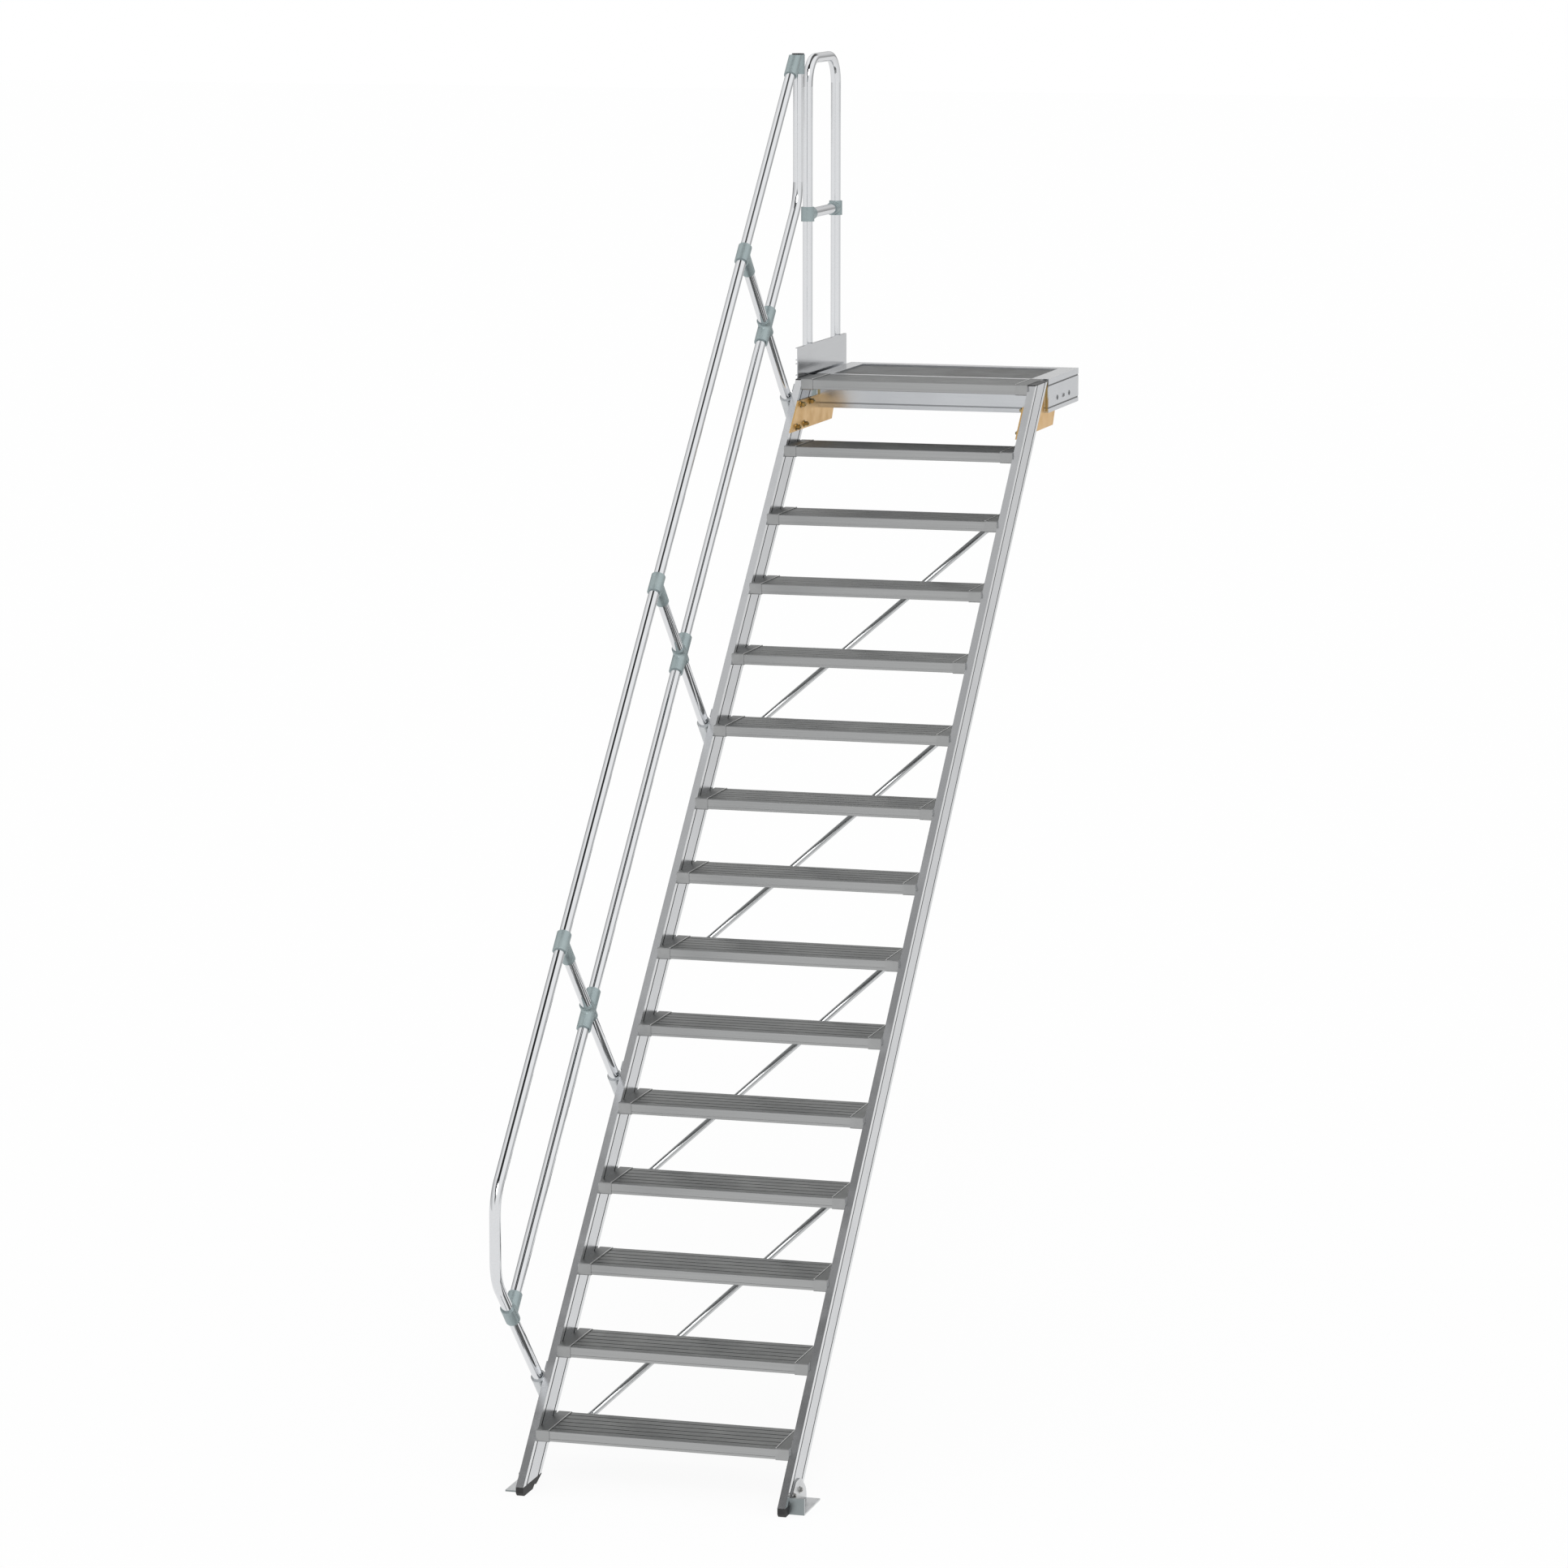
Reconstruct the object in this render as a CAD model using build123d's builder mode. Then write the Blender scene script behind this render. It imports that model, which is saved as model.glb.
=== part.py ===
import math
import os

from build123d import *

os.makedirs("parts", exist_ok=True)

# Flight of steps
rise = 210.0
going = 210.0
tread_count = 14
first_rise = 175.0
clear_width = 800.0

# Treads
tread_depth = 224.0
tread_height = 33.0
tread_edge_chamfer = 1.5
tread_top_wall = 5.0
tread_wall = 2.5
tread_chambers = 3
tread_grooves = 5
tread_groove_pitch = 40.0
tread_groove_width = 5.0
tread_groove_depth = 2.5
tread_front_groove = 1.5
tread_front_groove_drop = 24.5

# Cast shoes on the tread ends
shoe_length = 42.0
shoe_lap = 2.0
shoe_plate = 5.0
shoe_lip_width = 2.5
shoe_lip_height = 1.5
shoe_edge_chamfer = 2.5

# Stringers
stringer_width = 24.0
stringer_depth = 124.0
stringer_wall = 2.5
stringer_groove_inset = 23.0
stringer_groove_width = 3.0
stringer_groove_depth = 1.2
tread_lead = 20.0
foot_height = 28.5
cap_thickness = 4.0

# Rubber foot outline, measured back from the front corner of the stringer's cut end
foot_front_chamfer = 10.0
foot_flat_end = 91.0
foot_toe_end = 106.0
foot_toe_rise = 10.0
foot_step_end = 125.0
foot_step_rise = 7.0
foot_lip = 3.5

# Floor angles
angle_length = 175.0
angle_lead = 42.5
angle_width = 48.0
angle_thickness = 5.0
angle_height = 84.0
angle_end_height = 34.0
angle_crown = 55.0
angle_corner_radius = 45.0
angle_end_wall = 51.0

# Platform
platform_reach = 700.0
rail_height = 117.0
rail_web = 14.0
rail_wall = 3.0
rail_flange = 60.0
rail_flange_thickness = 6.0
rail_overhang = 14.0
rail_groove_width = 5.0
rail_groove_depth = 2.0
rail_upper_groove = 23.0
rail_lower_groove = 100.0
front_flange = 24.0
plank_count = 3
plank_gap = 1.0
plank_height = 22.0
plank_wall = 2.5
plank_grooves = 7
plank_groove_width = 4.0
plank_groove_depth = 1.5

# Connecting plates
plate_thickness = 5.0
plate_top_drop = 70.0
plate_bottom_drop = 170.0
plate_shoulder_drop = 24.0
plate_shoulder_back = 410.0
plate_heel_back = 377.0

# Diagonal struts behind the treads
strut_radius = 10.5
strut_inset = 70.0
strut_span = 3
strut_clearance = 2.7
strut_flat_half_width = 18.0
strut_flat_half_height = 2.5
strut_taper = 45.0
strut_tab_length = 46.0
strut_starts = (1, 4, 7, 10)

# Tubes of the handrail and the guard
tube_radius = 17.5
tube_wall = 2.0
bend_radius = 140.0
clamp_radius = 23.0
fit = 0.15
end_gap = 2.0
bore_overrun = 5.0
stub_ease = 1.0
clamp_blend = 8.0

# Handrail
handrail_outset = 24.0
handrail_off = 709.0
knee_rail_off = 339.7
top_post_along = -52.0
post_pitch = 1398.0
lowest_post_step = 1105.0
upper_posts = 3
end_lead = 230.0
riser_lead = 130.0
post_foot_off = -92.0
handrail_stop = 68.0
riser_top = 1104.0
tee_length = 68.0
tee_stub = 90.0
cross_length = 146.0
cross_stub = 34.0
lower_sleeve_length = 70.0
lower_stub = 70.0
connector_sleeve = 66.0
connector_arm = 138.0
plug_height = 4.0

# Post brackets on the stringer
bracket_length = 100.0
bracket_width = 62.0
bracket_thickness = 6.5
bracket_middle_off = -76.0
bracket_socket_top = -30.0
bracket_socket_bottom = -145.0
bracket_tab_length = 16.0
bracket_tab_width = 30.0

# Guard beside the platform
guard_outset = 41.0
guard_front_back = 277.0
guard_span = 362.0
guard_top = 1083.0
guard_bottom = 105.0
guard_bend = 95.0
crossbar_height = 549.0
crossbar_clamp_height = 50.0
crossbar_stub = 50.0
crossbar_clamp_blend = 2.5
guard_clamp_half_width = 26.0

# Toe board
toe_gap = 14.0
toe_thickness = 3.0
toe_rib = 6.0
toe_rib_thickness = 2.5
toe_front_back = 60.0
toe_rear_short = 13.0
toe_height = 103.0
toe_bottom_drop = 38.0
toe_rib_drops = (42.5, 55.5, 94.5)

# Positions that follow from the sizes, measured from the middle of the platform's rear face
slope = math.atan2(rise, going)
up_cos = math.cos(slope)
up_sin = math.sin(slope)
half_clear = clear_width / 2
deck_z = rail_height / 2
ground_z = deck_z - tread_count * rise - first_rise
strut_reach = half_clear - strut_inset
nosing_y = -platform_reach
first_y = nosing_y - tread_count * going
front_off = -tread_lead * up_sin
stringer_mid_off = front_off - stringer_depth / 2
handrail_x = -(half_clear + stringer_width + handrail_outset)
rail_outer = half_clear + rail_overhang
guard_x = -(rail_outer + guard_outset)
lowest_post_along = top_post_along - (upper_posts - 1) * post_pitch - lowest_post_step
butt_reach = tube_radius + end_gap
slope_dir = (0, up_cos, up_sin)
square_dir = (0, -up_sin, up_cos)


# Point of the side view, by the distance along the line of tread edges and the distance above it
def on_slope(along, off):
    return (nosing_y + along * up_cos - off * up_sin, deck_z + along * up_sin + off * up_cos)


# Point of the side view where a line parallel to the flight reaches a level
def at_level(off, level):
    return on_slope((level - deck_z - off * up_cos) / up_sin, off)


# Distance along the flight where a line parallel to it passes a station of the length
def along_at(off, station):
    return (station - nosing_y + off * up_sin) / up_cos


# Front edge of a tread by its number, the platform nosing being the last
def tread_front(number):
    steps_down = tread_count + 1 - number
    return (nosing_y - steps_down * going, deck_z - steps_down * rise)


# Treads and platform nosing
tread_half_length = half_clear - shoe_plate
chamber_depth = (tread_depth - (tread_chambers + 1) * tread_wall) / tread_chambers
chamber_height = tread_height - tread_top_wall - tread_wall
for number in range(1, tread_count + 2):
    front, top = tread_front(number)
    middle = front + tread_depth / 2
    with BuildPart() as tread:
        with BuildSketch(Plane.YZ.offset(-tread_half_length)) as profile:
            with Locations((middle, top - tread_height / 2)):
                Rectangle(tread_depth, tread_height)
            chamfer(profile.vertices().group_by(Axis.X)[0], tread_edge_chamfer)
            with Locations((middle, top - tread_top_wall - chamber_height / 2)):
                with GridLocations(chamber_depth + tread_wall, 0, tread_chambers, 1):
                    Rectangle(chamber_depth, chamber_height, mode=Mode.SUBTRACT)
            with Locations((middle, top - tread_groove_depth / 2)):
                with GridLocations(tread_groove_pitch, 0, tread_grooves, 1):
                    Rectangle(tread_groove_width, tread_groove_depth, mode=Mode.SUBTRACT)
            with Locations((front + tread_front_groove / 2, top - tread_front_groove_drop)):
                Rectangle(tread_front_groove, tread_front_groove, mode=Mode.SUBTRACT)
        extrude(amount=2 * tread_half_length)
    name = f"tread_{number:02d}" if number <= tread_count else "platform_nosing"
    tread.part.label = name
    export_step(tread.part, f"parts/{name}.step")

# Cast shoes that hold the tread ends
for side, inner_x, outward in (("left", -half_clear, -1), ("right", half_clear, 1)):
    with BuildPart() as shoes:
        for number in range(1, tread_count + 2):
            front, top = tread_front(number)
            middle = (front + tread_depth / 2, top - tread_height / 2)
            with BuildSketch(Plane.YZ.offset(inner_x)) as outline:
                with Locations(middle):
                    Rectangle(tread_depth + 2 * shoe_lap, tread_height + 2 * shoe_lap)
                chamfer(outline.vertices(), shoe_edge_chamfer)
            extrude(amount=-outward * shoe_length)
            with BuildSketch(Plane.YZ.offset(inner_x - outward * shoe_length)):
                with Locations(middle):
                    Rectangle(tread_depth + 2 * fit, tread_height + 2 * fit)
            extrude(amount=outward * (shoe_length - shoe_plate), mode=Mode.SUBTRACT)
            with BuildSketch(Plane.YZ.offset(inner_x - outward * shoe_length)):
                with Locations((middle[0], top + shoe_lap + shoe_lip_height / 2)):
                    Rectangle(tread_depth - shoe_edge_chamfer, shoe_lip_height)
            extrude(amount=outward * shoe_lip_width)
    shoes.part.label = f"{side}_tread_shoes"
    export_step(shoes.part, f"parts/{side}_tread_shoes.step")

# Stringers, their rubber feet, end caps and floor angles, the same angle turned about for each side
stringer_foot_z = ground_z + foot_height
stringer_head_z = deck_z - cap_thickness
foot_front = at_level(front_off, stringer_foot_z)
foot_rear = at_level(front_off - stringer_depth, stringer_foot_z)
head_front = at_level(front_off, stringer_head_z)
head_rear = at_level(front_off - stringer_depth, stringer_head_z)
blank_start = along_at(front_off, foot_front[0]) - stringer_depth
blank_end = along_at(front_off - stringer_depth, head_rear[0]) + stringer_depth
groove_off = stringer_depth / 2 - stringer_groove_inset
for side, sign in (("left", -1), ("right", 1)):
    middle_x = sign * (half_clear + stringer_width / 2)
    low_x = middle_x - stringer_width / 2
    with BuildPart() as stringer:
        section = Plane(
            origin=(middle_x, *on_slope(blank_start, stringer_mid_off)), x_dir=(1, 0, 0), z_dir=slope_dir
        )
        with BuildSketch(section):
            Rectangle(stringer_width, stringer_depth)
            Rectangle(stringer_width - 2 * stringer_wall, stringer_depth - 2 * stringer_wall, mode=Mode.SUBTRACT)
            with GridLocations(stringer_width - stringer_groove_depth, 2 * groove_off, 2, 2):
                Rectangle(stringer_groove_depth, stringer_groove_width, mode=Mode.SUBTRACT)
        extrude(amount=blank_end - blank_start)
        split(bisect_by=Plane.XY.offset(stringer_foot_z), keep=Keep.TOP)
        split(bisect_by=Plane.XY.offset(stringer_head_z), keep=Keep.BOTTOM)
    stringer.part.label = f"{side}_stringer"
    export_step(stringer.part, f"parts/{side}_stringer.step")

    with BuildPart() as foot:
        with BuildSketch(Plane.YZ.offset(low_x)):
            Polygon(
                foot_front,
                (foot_front[0], ground_z + foot_front_chamfer),
                (foot_front[0] + foot_front_chamfer, ground_z),
                (foot_front[0] + foot_flat_end, ground_z),
                (foot_front[0] + foot_toe_end, ground_z + foot_toe_rise),
                (foot_front[0] + foot_step_end, ground_z + foot_step_rise),
                (foot_rear[0], stringer_foot_z - foot_lip),
                foot_rear,
                align=None,
            )
        extrude(amount=stringer_width)
    foot.part.label = f"{side}_rubber_foot"
    export_step(foot.part, f"parts/{side}_rubber_foot.step")

    with BuildPart() as cap:
        with BuildSketch(Plane.XY.offset(stringer_head_z)):
            with Locations((middle_x, (head_front[0] + head_rear[0]) / 2)):
                Rectangle(stringer_width, head_rear[0] - head_front[0])
        extrude(amount=cap_thickness)
    cap.part.label = f"{side}_stringer_cap"
    export_step(cap.part, f"parts/{side}_stringer_cap.step")

    angle_front = foot_front[0] + angle_lead
    angle_rear = angle_front + angle_length
    angle_middle = (angle_front + angle_rear) / 2
    face_x = sign * (half_clear + stringer_width)
    with BuildPart() as floor_angle:
        with BuildSketch(Plane.YZ.offset(face_x)) as lug:
            Polygon(
                (angle_front, ground_z),
                (angle_rear, ground_z),
                (angle_rear, ground_z + angle_end_height),
                (angle_middle + angle_crown / 2, ground_z + angle_height),
                (angle_middle - angle_crown / 2, ground_z + angle_height),
                (angle_front, ground_z + angle_end_height),
                align=None,
            )
            fillet(lug.vertices().sort_by(Axis.Y)[2:], angle_corner_radius)
        extrude(amount=sign * angle_thickness)
        with BuildSketch(Plane.XY.offset(ground_z)):
            with Locations((face_x + sign * angle_width / 2, angle_middle)):
                Rectangle(angle_width, angle_length)
        extrude(amount=angle_thickness)
        end_y = angle_front if sign > 0 else angle_rear
        with BuildSketch(Plane(origin=(face_x, end_y, ground_z), x_dir=(sign, 0, 0), z_dir=(0, -sign, 0))):
            Rectangle(angle_width, angle_end_wall, align=Align.MIN)
        extrude(amount=-angle_thickness)
    floor_angle.part.label = f"{side}_floor_angle"
    export_step(floor_angle.part, f"parts/{side}_floor_angle.step")

# Connecting plates between the stringers and the platform
frame_front = nosing_y + tread_depth + shoe_lap
for side, start_x in (("left", -half_clear), ("right", half_clear - plate_thickness)):
    with BuildPart() as plate:
        with BuildSketch(Plane.YZ.offset(start_x)):
            Polygon(
                at_level(front_off, deck_z - plate_top_drop),
                (frame_front, deck_z - plate_top_drop),
                (frame_front, deck_z - plate_shoulder_drop),
                (nosing_y + plate_shoulder_back, deck_z - plate_shoulder_drop),
                (nosing_y + plate_shoulder_back, deck_z - rail_height),
                (nosing_y + plate_heel_back, deck_z - plate_bottom_drop),
                at_level(front_off, deck_z - plate_bottom_drop),
                align=None,
            )
        extrude(amount=plate_thickness)
    plate.part.label = f"{side}_connecting_plate"
    export_step(plate.part, f"parts/{side}_connecting_plate.step")

# Platform frame: side rails, front and rear channel
rail_front = frame_front + front_flange
flange_inner = rail_outer - rail_flange
flange_z = deck_z - rail_flange_thickness
for side, sign in (("left", -1), ("right", 1)):
    with BuildPart() as side_rail:
        section = Plane(origin=(sign * (rail_outer - rail_web / 2), rail_front, 0), x_dir=(1, 0, 0), z_dir=(0, -1, 0))
        with BuildSketch(section):
            Rectangle(rail_web, rail_height)
            Rectangle(rail_web - 2 * rail_wall, rail_height - 2 * rail_flange_thickness, mode=Mode.SUBTRACT)
            with Locations(
                (sign * (rail_web - rail_groove_depth) / 2, deck_z - rail_upper_groove),
                (sign * (rail_web - rail_groove_depth) / 2, deck_z - rail_lower_groove),
            ):
                Rectangle(rail_groove_depth, rail_groove_width, mode=Mode.SUBTRACT)
        extrude(amount=rail_front)
        with BuildSketch(Plane.XY.offset(flange_z)):
            Polygon(
                (sign * flange_inner, rail_front),
                (sign * half_clear, rail_front),
                (sign * half_clear, -rail_web),
                (sign * flange_inner, -rail_flange),
                align=None,
            )
        extrude(amount=rail_flange_thickness)
    side_rail.part.label = f"platform_{side}_rail"
    export_step(side_rail.part, f"parts/platform_{side}_rail.step")

with BuildPart() as rear_channel:
    with BuildSketch(Plane.YZ.offset(-half_clear)):
        with Locations((-rail_web / 2, 0)):
            Rectangle(rail_web, rail_height)
            Rectangle(rail_web - 2 * rail_wall, rail_height - 2 * rail_flange_thickness, mode=Mode.SUBTRACT)
    extrude(amount=clear_width)
    with BuildSketch(Plane.XY.offset(flange_z)):
        Polygon(
            (-half_clear, -rail_web),
            (half_clear, -rail_web),
            (flange_inner, -rail_flange),
            (-flange_inner, -rail_flange),
            align=None,
        )
    extrude(amount=rail_flange_thickness)
rear_channel.part.label = "platform_rear_channel"
export_step(rear_channel.part, "parts/platform_rear_channel.step")

channel_half = half_clear - plate_thickness
with BuildPart() as front_channel:
    with BuildSketch(Plane.YZ.offset(-channel_half)):
        with Locations((frame_front + rail_web / 2, 0)):
            Rectangle(rail_web, rail_height)
            Rectangle(rail_web - 2 * rail_wall, rail_height - 2 * rail_flange_thickness, mode=Mode.SUBTRACT)
        with Locations((frame_front + rail_groove_depth / 2, deck_z - rail_lower_groove)):
            Rectangle(rail_groove_depth, rail_groove_width, mode=Mode.SUBTRACT)
        with Locations((frame_front + front_flange / 2, deck_z - rail_flange_thickness / 2)):
            Rectangle(front_flange, rail_flange_thickness)
    extrude(amount=2 * channel_half)
front_channel.part.label = "platform_front_channel"
export_step(front_channel.part, "parts/platform_front_channel.step")

# Ribbed deck planks under the flanges of the frame
deck_front = frame_front + rail_web
deck_depth = -rail_web - deck_front
plank_depth = (deck_depth - (plank_count - 1) * plank_gap) / plank_count
plank_groove_pitch = plank_depth / plank_grooves
with BuildPart() as deck:
    for number in range(plank_count):
        plank_middle = deck_front + plank_depth / 2 + number * (plank_depth + plank_gap)
        with BuildSketch(Plane.YZ.offset(-channel_half)):
            with Locations((plank_middle, flange_z - plank_height / 2)):
                Rectangle(plank_depth, plank_height)
                Rectangle(plank_depth - 2 * plank_wall, plank_height - 2 * plank_wall, mode=Mode.SUBTRACT)
            with Locations((plank_middle, flange_z - plank_groove_depth / 2)):
                with GridLocations(plank_groove_pitch, 0, plank_grooves, 1):
                    Rectangle(plank_groove_width, plank_groove_depth, mode=Mode.SUBTRACT)
        extrude(amount=2 * channel_half)
deck.part.label = "deck_planks"
export_step(deck.part, "parts/deck_planks.step")

# Diagonal struts, flattened at both ends and fixed under the treads
strut_back = tread_depth + tread_height * going / rise + (strut_radius + strut_clearance) / up_sin
for index, start in enumerate(strut_starts, 1):
    ends = []
    for number, sign in ((start, -1), (start + strut_span, 1)):
        front, top = tread_front(number)
        level = top - tread_height - strut_flat_half_height
        station = front + strut_back - (tread_height + strut_flat_half_height) * going / rise
        ends.append(Vector(sign * strut_reach, station, level))
    axis = (ends[1] - ends[0]).normalized()
    flat_dir = Vector(1, 0, 0) - axis * axis.X
    tube_start = ends[0] + axis * strut_taper
    tube_end = ends[1] - axis * strut_taper
    with BuildPart() as strut:
        with BuildSketch(Plane(origin=tube_start, x_dir=flat_dir, z_dir=axis)):
            Circle(strut_radius)
        extrude(amount=(tube_end - tube_start).length)
        for tip, root in ((ends[0], tube_start), (ends[1], tube_end)):
            with BuildSketch(Plane(origin=tip, x_dir=flat_dir, z_dir=axis)):
                Ellipse(strut_flat_half_width, strut_flat_half_height)
            with BuildSketch(Plane(origin=root, x_dir=flat_dir, z_dir=axis)):
                Circle(strut_radius)
            loft()
            with BuildSketch(Plane.XY.offset(tip.Z - strut_flat_half_height)):
                with Locations((tip.X, tip.Y - strut_tab_length / 2 + strut_flat_half_height)):
                    Rectangle(2 * strut_flat_half_width, strut_tab_length)
            extrude(amount=2 * strut_flat_half_height)
    strut.part.label = f"strut_{index}"
    export_step(strut.part, f"parts/strut_{index}.step")

# Handrail: one bent tube from the top connector to the lowest post
end_y = first_y - end_lead
low_turn = (nosing_y + lowest_post_along * up_cos - end_y) / up_sin
with BuildPart() as handrail:
    with BuildLine(Plane.YZ.offset(handrail_x)) as handrail_path:
        FilletPolyline(
            on_slope(lowest_post_along, post_foot_off),
            on_slope(lowest_post_along, low_turn),
            on_slope(along_at(handrail_off, end_y), handrail_off),
            on_slope(along_at(handrail_off, nosing_y + handrail_stop), handrail_off),
            radius=bend_radius,
        )
    with BuildSketch(Plane(origin=handrail_path.line @ 0, x_dir=(1, 0, 0), z_dir=handrail_path.line % 0)):
        Circle(tube_radius)
        Circle(tube_radius - tube_wall, mode=Mode.SUBTRACT)
    sweep(path=handrail_path.line)
handrail.part.label = "handrail"
export_step(handrail.part, "parts/handrail.step")

# Knee rail: bent upright at its upper end, up to the top connector
riser_y = nosing_y + riser_lead
riser_top_z = deck_z + riser_top
with BuildPart() as knee_rail:
    with BuildLine(Plane.YZ.offset(handrail_x)) as knee_path:
        FilletPolyline(
            on_slope(lowest_post_along + butt_reach, knee_rail_off),
            on_slope(along_at(knee_rail_off, riser_y), knee_rail_off),
            (riser_y, riser_top_z),
            radius=bend_radius,
        )
    with BuildSketch(Plane(origin=knee_path.line @ 0, x_dir=(1, 0, 0), z_dir=knee_path.line % 0)):
        Circle(tube_radius)
        Circle(tube_radius - tube_wall, mode=Mode.SUBTRACT)
    sweep(path=knee_path.line)
knee_rail.part.label = "knee_rail"
export_step(knee_rail.part, "parts/knee_rail.step")

# Upper posts, each in two lengths that meet the knee rail
post_alongs = [top_post_along - step * post_pitch for step in range(upper_posts)]
post_lengths = (
    (post_foot_off, knee_rail_off - butt_reach),
    (knee_rail_off + butt_reach, handrail_off - butt_reach),
)
for index, along in enumerate(reversed(post_alongs), 2):
    with BuildPart() as post:
        for low_off, high_off in post_lengths:
            with BuildSketch(Plane(origin=(handrail_x, *on_slope(along, low_off)), x_dir=(1, 0, 0), z_dir=square_dir)):
                Circle(tube_radius)
                Circle(tube_radius - tube_wall, mode=Mode.SUBTRACT)
            extrude(amount=high_off - low_off)
    post.part.label = f"post_{index}"
    export_step(post.part, f"parts/post_{index}.step")

# Tee clamps under the handrail
tee_sleeves = [
    Plane(origin=(handrail_x, *on_slope(along - tee_length / 2, handrail_off)), x_dir=(1, 0, 0), z_dir=slope_dir)
    for along in post_alongs
]
tee_stubs = [
    Plane(origin=(handrail_x, *on_slope(along, handrail_off - tee_stub)), x_dir=(1, 0, 0), z_dir=square_dir)
    for along in post_alongs
]
with BuildPart() as tees:
    with BuildSketch(*tee_sleeves):
        Circle(clamp_radius)
    extrude(amount=tee_length)
    with BuildSketch(*tee_stubs):
        Circle(clamp_radius - stub_ease)
    extrude(amount=tee_stub)
    fillet(tees.edges().filter_by(GeomType.BSPLINE), clamp_blend)
    with BuildSketch(*[stub.offset(-bore_overrun) for stub in tee_stubs]):
        Circle(tube_radius + fit)
    extrude(amount=tee_stub - butt_reach + bore_overrun, mode=Mode.SUBTRACT)
    with BuildSketch(*[sleeve.offset(-bore_overrun) for sleeve in tee_sleeves]):
        Circle(tube_radius + fit)
    extrude(amount=tee_length + 2 * bore_overrun, mode=Mode.SUBTRACT)
tees.part.label = "handrail_tees"
export_step(tees.part, "parts/handrail_tees.step")

# Cross clamps on the knee rail
cross_sleeves = [
    Plane(origin=(handrail_x, *on_slope(along - cross_length / 2, knee_rail_off)), x_dir=(1, 0, 0), z_dir=slope_dir)
    for along in post_alongs
]
cross_stubs = [
    Plane(origin=(handrail_x, *on_slope(along, knee_rail_off - cross_stub)), x_dir=(1, 0, 0), z_dir=square_dir)
    for along in post_alongs
]
with BuildPart() as crosses:
    with BuildSketch(*cross_sleeves):
        Circle(clamp_radius)
    extrude(amount=cross_length)
    with BuildSketch(*cross_stubs):
        Circle(clamp_radius - stub_ease)
    extrude(amount=2 * cross_stub)
    fillet(crosses.edges().filter_by(GeomType.BSPLINE), clamp_blend)
    for start in (-bore_overrun, cross_stub + butt_reach):
        with BuildSketch(*[stub.offset(start) for stub in cross_stubs]):
            Circle(tube_radius + fit)
        extrude(amount=cross_stub - butt_reach + bore_overrun, mode=Mode.SUBTRACT)
    with BuildSketch(*[sleeve.offset(-bore_overrun) for sleeve in cross_sleeves]):
        Circle(tube_radius + fit)
    extrude(amount=cross_length + 2 * bore_overrun, mode=Mode.SUBTRACT)
crosses.part.label = "knee_rail_crosses"
export_step(crosses.part, "parts/knee_rail_crosses.step")

# Clamp that joins the knee rail to the lowest post
with BuildPart() as lower_clamp:
    upright = Plane(
        origin=(handrail_x, *on_slope(lowest_post_along, knee_rail_off - lower_sleeve_length / 2)),
        x_dir=(1, 0, 0),
        z_dir=square_dir,
    )
    arm = Plane(origin=(handrail_x, *on_slope(lowest_post_along, knee_rail_off)), x_dir=(1, 0, 0), z_dir=slope_dir)
    with BuildSketch(upright):
        Circle(clamp_radius)
    extrude(amount=lower_sleeve_length)
    with BuildSketch(arm):
        Circle(clamp_radius - stub_ease)
    extrude(amount=lower_stub)
    fillet(lower_clamp.edges().filter_by(GeomType.BSPLINE), clamp_blend)
    with BuildSketch(arm.offset(butt_reach)):
        Circle(tube_radius + fit)
    extrude(amount=lower_stub - butt_reach + bore_overrun, mode=Mode.SUBTRACT)
    with BuildSketch(upright.offset(-bore_overrun)):
        Circle(tube_radius + fit)
    extrude(amount=lower_sleeve_length + 2 * bore_overrun, mode=Mode.SUBTRACT)
lower_clamp.part.label = "lower_clamp"
export_step(lower_clamp.part, "parts/lower_clamp.step")

# Connector that joins the handrail to the upright end of the knee rail
stop_along = along_at(handrail_off, nosing_y + handrail_stop)
arm_reach = (riser_lead - handrail_stop) / up_cos
with BuildPart() as connector:
    upright = Plane.XY.offset(riser_top_z - connector_sleeve)
    arm = Plane(
        origin=(handrail_x, *on_slope(stop_along - connector_arm + arm_reach, handrail_off)),
        x_dir=(1, 0, 0),
        z_dir=slope_dir,
    )
    with BuildSketch(arm):
        Circle(clamp_radius - stub_ease)
    extrude(amount=connector_arm)
    split(bisect_by=Plane.XY.offset(riser_top_z), keep=Keep.BOTTOM)
    with BuildSketch(upright):
        with Locations((handrail_x, riser_y)):
            Circle(clamp_radius)
    extrude(amount=connector_sleeve)
    with BuildSketch(arm.offset(-bore_overrun)):
        Circle(tube_radius + fit)
    extrude(amount=connector_arm - arm_reach + bore_overrun, mode=Mode.SUBTRACT)
    with BuildSketch(upright.offset(-bore_overrun)):
        with Locations((handrail_x, riser_y)):
            Circle(tube_radius + fit)
    extrude(amount=connector_sleeve + 2 * bore_overrun, mode=Mode.SUBTRACT)
connector.part.label = "top_connector"
export_step(connector.part, "parts/top_connector.step")

with BuildPart() as plug:
    with BuildSketch(Plane.XY.offset(riser_top_z)):
        with Locations((handrail_x, riser_y)):
            Circle(clamp_radius - tube_wall)
    extrude(amount=plug_height)
plug.part.label = "top_plug"
export_step(plug.part, "parts/top_plug.step")

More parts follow.
